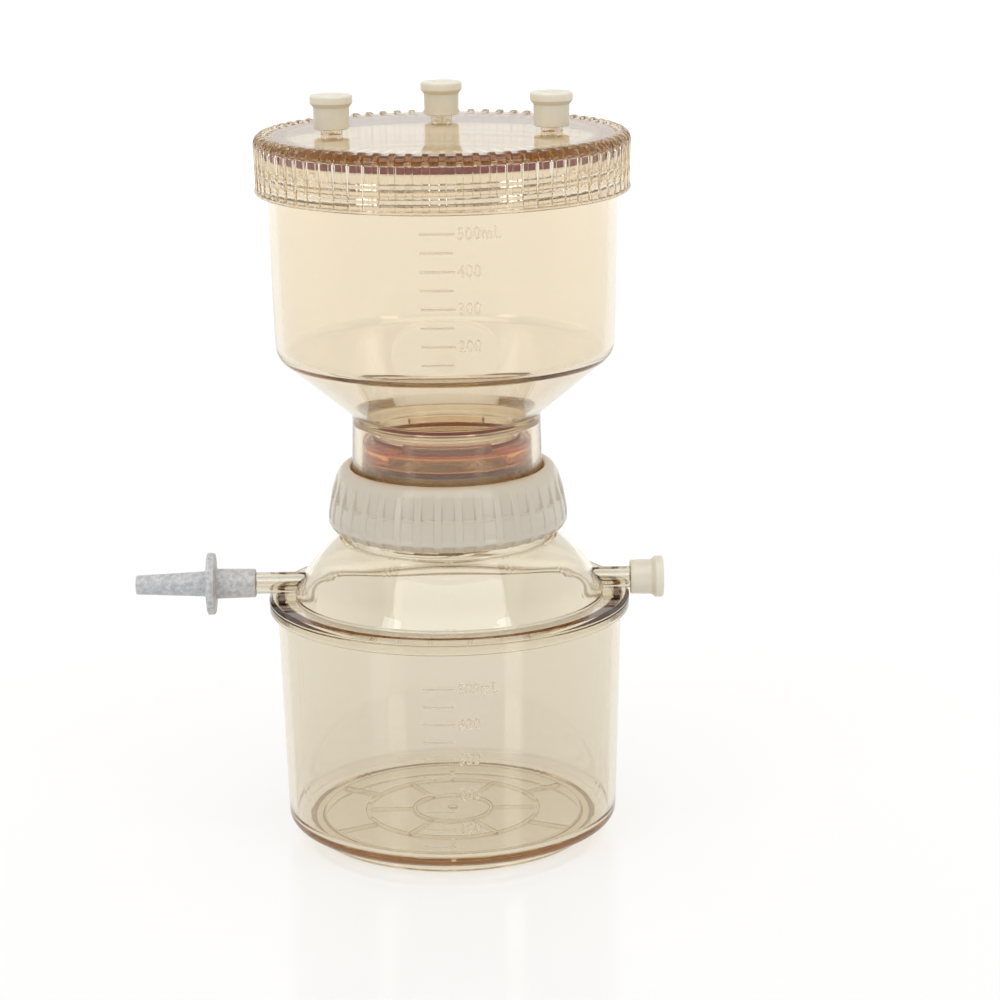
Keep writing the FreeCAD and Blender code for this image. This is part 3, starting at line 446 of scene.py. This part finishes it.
def receiver():
    floor_, rib = 4.0, 2.8
    outline = rounded([
        (0, 3.4), (1.6, 3.4, 0.3), (1.6, floor_),
        (12.1, floor_), (12.1, rib, 0.25), (13.3, rib, 0.25), (13.3, floor_),
        (27.4, floor_), (27.4, rib, 0.25), (28.6, rib, 0.25), (28.6, floor_),
        (42.6, floor_, 0.5), (42.6, 0, 0.8), (46.0, 0, 1.0), (46.3, floor_, 0.8),
        (54.0, floor_, 5.0), (56.05, 75.6, 0.6), (58.7, 75.6, 0.9), (58.7, 78.55, 0.2), (58.4, 78.8), (58.7, 79.05, 0.2),
        (58.7, 79.5, 0.25), (57.6, 80.6, 0.25), (50.3, 80.6, 0.45), (50.3, 81.5, 0.45)] + curve_through(CONE_OUTSIDE) + [(35.5, 99.8, 0.35), (34.2, 99.8, 0.3),
        (34.2, 116.9, 0.5), (26.5, 116.9, 0.5), (26.5, 126.1, 0.7), (24.3, 126.1, 0.7), (24.3, 113.9, 0.6), (31.5, 113.9, 0.8),
    ], step=11.0)[:-1]
    outline += [p for p in rounded([(24.3, 113.9), (31.5, 113.9, 0.8), (31.5, 99.3, 1.2)] + curve_through(CONE_INSIDE) + [(49.8, 79.2, 0.5), (49.8, 78.8, 0.2), (53.75, 78.8, 0.5), (51.7, 6.8, 3.0), (0, 6.8)], step=9.0)][1:]
    outline = split_long(outline, 0.38, closed=False, low=99.9, high=116.6, at_radius=(34.1, 34.3))
    spokes = [(k * 60.0, 13.2, 27.5) for k in range(6)] + [(30 + k * 60.0, 28.5, 42.7) for k in range(6)]
    angles = set(round(k * 1.25, 4) for k in range(288))
    for middle, _, _ in spokes:
        for off in (-1.35, -1.1, 1.1, 1.35):
            angles.add(round((middle + off) % 360, 4))
    angles = sorted(math.radians(a) for a in angles)

    def shift(t, r, z, row):
        if abs(z - floor_) < 1e-6 and r > 13 and r < 42.3:
            deg = math.degrees(t)
            for middle, inner, outer in spokes:
                if inner <= r <= outer:
                    off = abs((deg - middle + 180) % 360 - 180)
                    if off <= 1.11:
                        return r, rib
        if abs(r - 34.2) < 0.02 and 100.2 < z < 116.5:
            d = helix_offset(t, z, NECK_LEAD, NECK_STARTS, 101.0)
            fade = smoothstep((z - 101.0) / 1.6) * smoothstep((115.9 - z) / 1.6)
            return r + 1.0 * fade * ridge(d, 0.45, 0.4), z
        return r, z

    shell = lathe("receiver_shell", outline, closed=False, angles=angles, shift=shift)
    return shell


receiver_shell = receiver()
arms = []
inside = [(r + 0.8, z) for r, z in reversed([CONE_INSIDE[0]] + curve_through(CONE_INSIDE) + [CONE_INSIDE[-1]])]
for tag, side in (("r", 1), ("l", -1)):
    ends = sorted((side * 40.0, side * 68.0))
    arm = rod("arm_" + tag, 3.5, ends[0], ends[1], "x", (0, 0, 84.0))
    ends = sorted((side * 49.6, side * 55.0))
    pad = block("pad_" + tag, (ends[0], -12.8, 80.0), (ends[1], 12.8, 81.4))
    for piece in (arm, pad):
        boolean(piece, [lathe("inside", [(0, 76.0), (50.6, 76.0)] + inside + [(0, 99.3)], segments=180, closed=False)], "DIFFERENCE")
        arms.append(piece)
boolean(receiver_shell, arms, "UNION")
boolean(receiver_shell, [rod("bore_r", 1.7, 30.0, 69.0, "x", (0, 0, 84.0), 48), rod("bore_l", 1.7, -69.0, -30.0, "x", (0, 0, 84.0), 48)], "DIFFERENCE")
tidy(receiver_shell.data, 30.0)
dress(receiver_shell, RECEIVER, "receiver_clear", "receiver", "receiver_body", "receiver_shoulder")


# ------------------------------------------------------------------ support plate
def support_plate():
    outline = rounded([
        (0, 129.7), (19.6, 129.7, 0.8), (19.6, 119.9, 0.5), (21.9, 119.9, 0.6), (21.9, 126.1, 0.5), (27.5, 126.1, 1.0),
        (27.5, 132.7, 0.7), (25.6, 132.7, 0.1), (23.7, 132.7, 0.4), (23.7, 131.95, 0.2), (22.2, 131.95), (21.9, 131.6), (0, 131.6),
    ])
    angles = set(round(k * 1.5, 4) for k in range(240))
    for middle in (90, 270):
        for off in (-35.0, -34.6, -30.2, -29.8, 29.8, 30.2, 34.6, 35.0):
            angles.add(round((middle + off) % 360, 4))
    angles = sorted(math.radians(a) for a in angles)

    def side(t):
        deg = math.degrees(t)
        return min(abs((deg - m + 180) % 360 - 180) for m in (90, 270))

    def shift(t, r, z, row):
        off = side(t)
        if z > 131.0 and r > 24.9 and off < 30.0:
            return r, z + 2.1 * smoothstep((z - 131.5) / 0.9) * smoothstep((r - 25.3) / 0.25)
        if 23.0 < r < 24.2 and z > 131.5 and off < 34.8:
            return r + 1.6, z - 0.85 if z < 132.3 else z
        return r, z

    ring = lathe("support_plate_body", outline, closed=False, angles=angles, shift=shift)
    dress(ring, PLATE, "plate_amber", "receiver", "support_plate")
    return ring


def plate_grid():
    """The woven pattern of fine square studs that holds the filter off the drain holes."""
    pitch, half, top, base = 0.9, 0.3, 131.95, 131.62
    verts, faces = [], []
    limit = 21.7
    n = int(limit / pitch) + 1
    ca, sa = math.cos(math.radians(45)), math.sin(math.radians(45))
    for i in range(-n, n + 1):
        for j in range(-n, n + 1):
            x, y = i * pitch, j * pitch
            if math.hypot(x, y) > limit - 0.4:
                continue
            start = len(verts)
            for level, size in ((base, half), (top, half * 0.6)):
                for a, b in ((-size, -size), (size, -size), (size, size), (-size, size)):
                    u, v = x + a, y + b
                    verts.append((u * ca - v * sa, u * sa + v * ca, level))
            for k in range(4):
                m = (k + 1) % 4
                faces.append([start + k, start + m, start + 4 + m, start + 4 + k])
            faces.append([start + 3, start + 2, start + 1, start])
            faces.append([start + 4, start + 5, start + 6, start + 7])
    grid = mesh_object("support_plate_grid", verts, faces, merge=0)
    dress(grid, PLATE, "plate_amber", "receiver")
    return grid


support_plate()
plate_grid()


def torus(name, mean, height, section, segments=288, sides=24):
    loop = [(mean + section * math.cos(TAU * k / sides), height + section * math.sin(TAU * k / sides)) for k in range(sides)]
    return lathe(name, loop, segments=segments)


dress(torus("plate_o_ring", 23.1, 124.8, 1.18), SILICONE, "red_silicone", "receiver", "support_plate_o_ring")


# ------------------------------------------------------------------ upper chamber
def cone_outer(z):
    return 33.2 + 1.2 * (z - 143.0)


def upper_chamber():
    outline = rounded([
        (21.6, 133.3, 0.5), (23.8, 133.3, 0.5), (23.8, 135.2, 0.8), (27.9, 138.6, 0.8), (27.9, 116.9, 0.6), (33.4, 116.9, 0.6),
        (33.4, 120.2, 0.5), (30.75, 120.2, 0.8), (30.25, 140.5, 1.2), (54.1, 160.4, 6.0), (54.7, 176.6), (55.1, 197.0), (55.4, 213.0),
        (55.4, 224.5, 0.8), (52.9, 224.5, 0.8), (52.9, 213.0), (52.6, 197.0), (52.2, 176.6), (51.6, 161.7, 3.5), (21.6, 136.6, 2.2),
    ], step=9.0)
    body = lathe("upper_chamber_shell", outline, segments=360)
    boolean(body, [helix_ridge("chamber_thread", 55.4, 215.4, COVER_LEAD, -180, 450, 1.25)], "UNION")
    tidy(body.data, 32.0)
    dress(body, CHAMBER, "chamber_clear", "chamber", "upper_chamber")
    return body


upper_chamber()


def chamber_gasket():
    outline = rounded([(21.7, 132.1, 0.3), (23.6, 132.1, 0.3), (23.6, 133.28, 0.2), (21.7, 133.28, 0.2)])
    angles = set(round(k * 1.5, 4) for k in range(240))
    for middle in (90, 270):
        for off in (-34.0, -33.0, 33.0, 34.0):
            angles.add(round((middle + off) % 360, 4))
    angles = sorted(math.radians(a) for a in angles)

    def shift(t, r, z, row):
        deg = math.degrees(t)
        off = min(abs((deg - m + 180) % 360 - 180) for m in (90, 270))
        lug = smoothstep((33.6 - off) / 0.6)
        if r > 22.8:
            return r + 1.4 * lug, (z - 0.8 * lug if z < 132.7 else z)
        return r, z

    seal = lathe("chamber_gasket_ring", outline, angles=angles, shift=shift)
    dress(seal, SILICONE, "red_silicone", "chamber", "chamber_gasket")
    return seal


chamber_gasket()


# ------------------------------------------------------------------ collar
def locking_collar():
    outline = rounded([
        (35.8, 102.8, 0.4), (36.9, 102.8, 0.5), (38.65, 104.8, 1.6), (38.65, 108.4, 8.0), (37.6, 114.3, 12.0), (35.9, 120.0, 6.0), (34.2, 123.0, 2.6),
        (31.2, 123.0, 0.9), (31.2, 120.25, 0.3), (34.4, 120.25, 0.3), (34.4, 117.2, 0.3), (35.8, 114.4, 0.6),
    ], step=10.0)
    extra = []
    n = len(outline)
    levels = sorted([103.2 + 0.45 * k for k in range(43)] + [112.55, 112.75, 112.9, 113.05, 113.2, 113.35, 113.5])
    for i in range(n):
        a, b = outline[i], outline[(i + 1) % n]
        extra.append(a)
        if a[0] > 34.0 and b[0] > 34.0 and b[1] > a[1] and a[0] > 35.85 or (a[0] > 34.5 and b[0] > 34.0 and a[1] > 119 and b[1] > a[1]):
            cuts = sorted(l for l in levels if a[1] + 0.03 < l < b[1] - 0.03)
            extra += [(a[0] + (b[0] - a[0]) * (l - a[1]) / (b[1] - a[1]), l) for l in cuts]
    outline = split_long(extra, 0.42, low=103.3, high=114.5, at_radius=(35.75, 35.85))
    step = 10.0
    local = [-5.0, -4.4, -3.9, -3.5, -3.2, -2.9, -2.5, -1.5, 0.0, 1.5, 2.5, 2.9, 3.2, 3.5, 3.9, 4.4]
    angles = sorted(math.radians((k * step + a) % 360) for k in range(36) for a in local)

    def window(off, half, flank):
        return smoothstep((half + flank - abs(off)) / flank)

    def shift(t, r, z, row):
        deg = math.degrees(t)
        off = (deg + 180) % step
        off = off - step if off > step / 2 else off
        if abs(r - 35.8) < 0.03 and 103.3 < z < 114.4:
            d = helix_offset(t, z, NECK_LEAD, NECK_STARTS, 103.0)
            fade = smoothstep((z - 103.4) / 1.0) * smoothstep((114.2 - z) / 1.0)
            return r - 0.95 * fade * ridge(d, 0.4, 0.4), z
        if r > 34.45:
            upper = 0.95 * max(0.0, min(1.0, (121.2 - z) / 7.6)) * smoothstep((z - 112.7) / 0.6)
            lower = 0.36 * smoothstep((113.0 - z) / 0.5) * smoothstep((z - 105.9) / 0.7)
            notch = 0.6 * smoothstep((105.1 - z) / 0.5) if r > 36.15 else 0.0
            return r - window(off, 2.95, 0.4) * (upper + lower) - window(off, 2.6, 0.45) * notch, z
        return r, z

    ring = lathe("locking_collar_ring", outline, angles=angles, shift=shift, smooth_angle=38.0)
    dress(ring, COLLAR, "collar_ivory", "collar", "locking_collar")
    return ring


locking_collar()


# ------------------------------------------------------------------ cover
def cover():
    outer = rounded([
        (57.2, 212.4, 0.5), (59.5, 212.4, 0.5), (59.5, 213.4, 0.35), (58.75, 213.65, 0.2), (58.75, 230.1, 4.0), (53.9, 230.1), (44.0, 230.1), (0, 230.1),
    ], step=8.0)
    inner = rounded([
        (0, 227.1), (49.0, 227.1, 0.2), (49.0, 225.2, 0.4), (50.2, 225.2, 0.4), (50.2, 227.1, 0.2), (57.2, 227.1, 0.6), (57.2, 212.4, 0.5), (58.4, 212.4),
    ], step=15.0)[:-1]
    # one loop: up the outside, across the top to the axis, back along the underside, down the bore
    loop = []
    for p in outer:
        loop.append(p)
    for p in inner:
        loop.append(p)
    clean = []
    for p in loop:
        if clean and math.hypot(p[0] - clean[-1][0], p[1] - clean[-1][1]) < 0.01:
            continue
        clean.append(p)
    while math.hypot(clean[0][0] - clean[-1][0], clean[0][1] - clean[-1][1]) < 0.6 and clean[-1][1] < 213.2:
        clean.pop()
    step = 5.0
    local = [-2.5, -1.75, -1.24, -1.08, -0.92, -0.55, 0.0, 0.55, 0.92, 1.08, 1.24, 1.75]
    angles = sorted(math.radians((k * step + a) % 360) for k in range(72) for a in local)

    def shift(t, r, z, row):
        if r > 53.5 and z > 213.62:
            deg = math.degrees(t)
            off = (deg + 180) % step
            off = off - step if off > step / 2 else off
            rise = smoothstep((1.24 - abs(off)) / 0.34) * (1.0 - 0.10 * min(1.0, abs(off)) ** 2)
            if z <= 226.1:
                return r + 0.85 * rise * smoothstep((z - 213.6) / 0.5), z
            angle = math.atan2(z - 226.1, r - 54.75)
            lift = 0.85 * rise * smoothstep((98.0 - math.degrees(angle)) / 26.0)
            return r + lift * math.cos(angle), z + lift * math.sin(angle)
        return r, z

    shell = lathe("cover_shell", clean, closed=True, angles=angles, shift=shift, smooth_angle=34.0)
    tubes, bores = [], []
    for tag, x, y in (("l", -34.6, 0), ("b", 0, 34.6), ("r", 34.6, 0)):
        tubes.append(rod("tube_" + tag, 3.5, 228.4, 239.4, "z", (x, y, 0), 64))
        bores.append(rod("hole_" + tag, 1.9, 226.0, 240.5, "z", (x, y, 0), 48))
    tubes.append(helix_ridge("cover_thread", 57.2, 217.6, COVER_LEAD, -262, 393, 1.25, sink=0.3, inward=True))
    boolean(shell, tubes, "UNION")
    boolean(shell, bores, "DIFFERENCE")
    tidy(shell.data, 34.0)
    dress(shell, COVER, "cover_clear", "cover", "cover")
    return shell


cover()
gasket_loop = rounded([(50.5, 224.52, 0.5), (56.8, 224.52, 0.5), (56.8, 227.06, 0.5), (50.5, 227.06, 0.5)])
dress(lathe("cover_gasket_ring", gasket_loop, segments=288), SILICONE, "red_silicone", "cover_seal", "cover_gasket")


# ------------------------------------------------------------------ caps and adapter
def place(obj, matrix):
    obj.data.transform(matrix)
    return obj


def cap(name, node, body, matrix):
    outline = rounded([
        (3.55, 0.0, 0.3), (5.55, 0.0, 0.45), (5.7, 6.9, 0.5), (6.75, 8.2, 0.35), (6.75, 10.8, 0.75), (3.7, 10.8, 0.35),
        (3.4, 10.3, 0.3), (0.9, 10.3, 0.25), (0.6, 10.05, 0.15), (0, 10.05)], step=15.0)
    bore = rounded([(0, 9.0), (3.55, 9.0, 0.5), (3.55, 0.0, 0.3), (5.0, 0.0)], step=20.0)[:-1]
    loop = outline + bore
    obj = lathe(name, loop, segments=96, closed=True)
    place(obj, matrix)
    return dress(obj, CAP, "cap_milky", body, node)


for tag, x, y in (("left", -34.6, 0), ("back", 0, 34.6), ("right", 34.6, 0)):
    cap("port_cap_%s_turned" % tag, "port_cap_" + tag, tag + "_cap", Matrix.Translation((x * MM, y * MM, 231.7 * MM)))
cap("side_arm_cap_turned", "side_arm_cap", "arm_cap", Matrix.Translation((59.1 * MM, 0, 84.0 * MM)) @ Matrix.Rotation(math.pi / 2, 4, "Y"))


def tubing_adapter():
    outline = rounded([
        (3.55, 0.0, 0.2), (4.65, 0.0, 0.3), (4.9, 12.8, 0.4), (10.0, 13.2, 0.5), (10.2, 15.7, 0.6), (4.1, 16.4, 0.7), (3.1, 39.0, 0.5),
        (1.7, 39.0, 0.25), (1.7, 10.4), (3.55, 10.4, 0.3)], step=12.0)
    obj = lathe("tubing_adapter_turned", outline, segments=128)
    place(obj, Matrix.Translation((-63.0 * MM, 0, 84.0 * MM)) @ Matrix.Rotation(-math.pi / 2, 4, "Y"))
    return dress(obj, ADAPTER, "adapter_grey", "adapter", "tubing_adapter")


tubing_adapter()


# ------------------------------------------------------------------ graduations
def wall_radius(z, knots):
    for (r0, z0), (r1, z1) in zip(knots, knots[1:]):
        if z0 <= z <= z1:
            return r0 + (r1 - r0) * (z - z0) / (z1 - z0)
    return knots[-1][0] if z > knots[-1][1] else knots[0][0]


CHAMBER_WALL = [(54.1, 160.4), (54.7, 176.6), (55.1, 197.0), (55.4, 213.0)]
CUP_WALL = [(54.0, 4.0), (56.05, 74.3)]


def mark_strip(verts, faces, knots, z, turn, span, height=0.62, relief=0.28):
    """One raised line: a curved bar with a rounded top, just clear of the wall."""
    section = [(-0.5, 0.012), (-0.36, 0.8), (-0.14, 1.0), (0.14, 1.0), (0.36, 0.8), (0.5, 0.012)]
    count = max(4, int(span / 0.6))
    first = len(verts)
    for k in range(count + 1):
        t = math.radians(turn - span / 2 + span * k / count)
        end = min(1.0, min(k, count - k) * 1.2 + 0.35)
        for across, up in section:
            zz = z + across * height
            r = wall_radius(zz, knots) + (up * relief * end if up > 0.1 else 0.012)
            verts.append((r * math.cos(t), r * math.sin(t), zz))
    m = len(section)
    for k in range(count):
        for j in range(m):
            a, b = first + k * m + j, first + k * m + (j + 1) % m
            faces.append([a, b, b + m, a + m])
    faces.append([first + j for j in range(m)][::-1])
    faces.append([first + count * m + j for j in range(m)])


def numerals(name, words, knots, z, turn, size, squeeze, relief=0.40):
    """Raised generic numerals, wrapped round the wall, reading left to right from outside."""
    curve = bpy.data.curves.new(name + "_text", "FONT")
    curve.body = words
    curve.size = size * MM
    curve.extrude = relief / 2 * MM
    curve.bevel_depth = 0.05 * MM
    curve.bevel_resolution = 1
    curve.offset = 0.04 * MM
    curve.resolution_u = 4
    curve.align_y = "CENTER"
    curve.space_character = 1.08
    text = bpy.data.objects.new(name + "_text", curve)
    scene.collection.objects.link(text)
    dg = bpy.context.evaluated_depsgraph_get()
    mesh = bpy.data.meshes.new_from_object(text.evaluated_get(dg))
    bpy.data.objects.remove(text, do_unlink=True)
    bm = bmesh.new()
    bm.from_mesh(mesh)
    bmesh.ops.remove_doubles(bm, verts=bm.verts, dist=2e-6)
    bmesh.ops.triangulate(bm, faces=bm.faces)
    lift = (relief / 2 + 0.06) * MM
    for v in bm.verts:
        zz = z + v.co.y / MM
        r = wall_radius(zz, knots) + (v.co.z + lift) / MM
        t = math.radians(turn) + squeeze * v.co.x / MM / wall_radius(z, knots)
        v.co = Vector((r * math.cos(t) * MM, r * math.sin(t) * MM, zz * MM))
    bm.to_mesh(mesh)
    bm.free()
    return mesh


def graduations(prefix, knots, top, step, count, turn, long_span, short_span, labels, text_turn, size, squeeze, body, slot):
    verts, faces = [], []
    for k in range(count):
        span = long_span if k % 2 == 0 else short_span
        mark_strip(verts, faces, knots, top - k * step, turn - (long_span - span) / 2, span)
    lines = mesh_object(prefix + "_lines", verts, faces, smooth_angle=50.0, merge=0)
    dress(lines, MARK, slot, body)
    bm = bmesh.new()
    for k, words in labels:
        part = numerals("%s_%d" % (prefix, k), words, knots, top - k * step, text_turn, size, squeeze)
        bm.from_mesh(part)
        bpy.data.meshes.remove(part)
    mesh = bpy.data.meshes.new(prefix + "_numerals")
    bm.to_mesh(mesh)
    bm.free()
    obj = bpy.data.objects.new(prefix + "_numerals", mesh)
    scene.collection.objects.link(obj)
    tidy(obj.data, 40.0, 0)
    dress(obj, MARK, slot, body)


graduations("chamber_scale", CHAMBER_WALL, 206.4, 5.75, 8, -92.1, 11.2, 10.6,
            [(0, "500mL"), (2, "400"), (4, "300"), (6, "200")], -85.9, 5.2, 0.88, "chamber", "chamber_clear")
graduations("receiver_scale", CUP_WALL, 64.0, 5.8, 10, -94.0, 10.2, 9.7,
            [(0, "500mL"), (2, "400"), (4, "300"), (6, "200"), (8, "100")], -87.9, 5.0, 0.86, "receiver", "receiver_clear")


# ------------------------------------------------------------------ floor and light
def floor():
    n = Nodes("floor_white")
    body = n.add("ShaderNodeBsdfPrincipled")
    body.inputs["Base Color"].default_value = (0.34, 0.34, 0.34, 1)
    body.inputs["Roughness"].default_value = 0.09
    body.inputs["Emission Color"].default_value = (1.0, 1.0, 1.0, 1)
    body.inputs["Emission Strength"].default_value = 0.58
    body.inputs["Specular IOR Level"].default_value = 0.30
    n.link(body.outputs["BSDF"], n.out.inputs["Surface"])
    mesh = bpy.data.meshes.new("floor")
    s = 12.0
    mesh.from_pydata([(-s, -s, 0), (s, -s, 0), (s, s, 0), (-s, s, 0)], [], [[0, 1, 2, 3]])
    mesh.materials.append(n.mat)
    obj = bpy.data.objects.new("floor", mesh)
    obj.location.z = -0.00005
    scene.collection.objects.link(obj)


floor()


def area(name, place_, aim, width, height, power, colour=(1, 1, 1)):
    data = bpy.data.lights.new(name, "AREA")
    data.shape = "RECTANGLE"
    data.size, data.size_y = width, height
    data.energy = power
    data.color = colour
    lamp = bpy.data.objects.new(name, data)
    lamp.location = place_
    lamp.rotation_mode = "QUATERNION"
    lamp.rotation_quaternion = (Vector(aim) - Vector(place_)).to_track_quat("-Z", "Y")
    scene.collection.objects.link(lamp)
    return lamp


area("overhead", (0.0, -0.50, 1.30), (0, 0.70, 0.10), 1.72, 1.30, 13.0)
area("side_right", (0.95, -1.05, 0.62), (0, 0, 0.14), 0.34, 0.9, 2.4)
area("side_left", (-1.05, -0.95, 0.62), (0, 0, 0.14), 0.34, 0.9, 2.4)

world = bpy.data.worlds.new("studio")
scene.world = world
world.use_nodes = True
wt = world.node_tree
wt.nodes.clear()
wout = wt.nodes.new("ShaderNodeOutputWorld")
back = wt.nodes.new("ShaderNodeBackground")
coords = wt.nodes.new("ShaderNodeTexCoord")
parts = wt.nodes.new("ShaderNodeSeparateXYZ")
wt.links.new(coords.outputs["Generated"], parts.inputs["Vector"])
tone = wt.nodes.new("ShaderNodeMapRange")
tone.interpolation_type = "SMOOTHSTEP"
tone.inputs["From Min"].default_value = -0.65
tone.inputs["From Max"].default_value = 0.25
tone.inputs["To Min"].default_value = 0.24
tone.inputs["To Max"].default_value = 0.92
wt.links.new(parts.outputs["Y"], tone.inputs["Value"])
roof = wt.nodes.new("ShaderNodeMapRange")
roof.interpolation_type = "SMOOTHSTEP"
roof.inputs["From Min"].default_value = 0.45
roof.inputs["From Max"].default_value = 0.9
roof.inputs["To Min"].default_value = 1.0
roof.inputs["To Max"].default_value = 0.62
wt.links.new(parts.outputs["Z"], roof.inputs["Value"])
both = wt.nodes.new("ShaderNodeMath")
both.operation = "MULTIPLY"
wt.links.new(tone.outputs["Result"], both.inputs[0])
wt.links.new(roof.outputs["Result"], both.inputs[1])
wt.links.new(both.outputs["Value"], back.inputs["Strength"])
back.inputs["Color"].default_value = (1.0, 0.998, 0.99, 1)
wt.links.new(back.outputs["Background"], wout.inputs["Surface"])

scene.view_settings.view_transform = "Standard"
scene.view_settings.look = "None"
scene.view_settings.exposure = 0.0
scene.cycles.max_bounces = 56
scene.cycles.transmission_bounces = 56
scene.cycles.glossy_bounces = 56
scene.cycles.diffuse_bounces = 1
scene.cycles.transparent_max_bounces = 16
scene.cycles.volume_bounces = 0
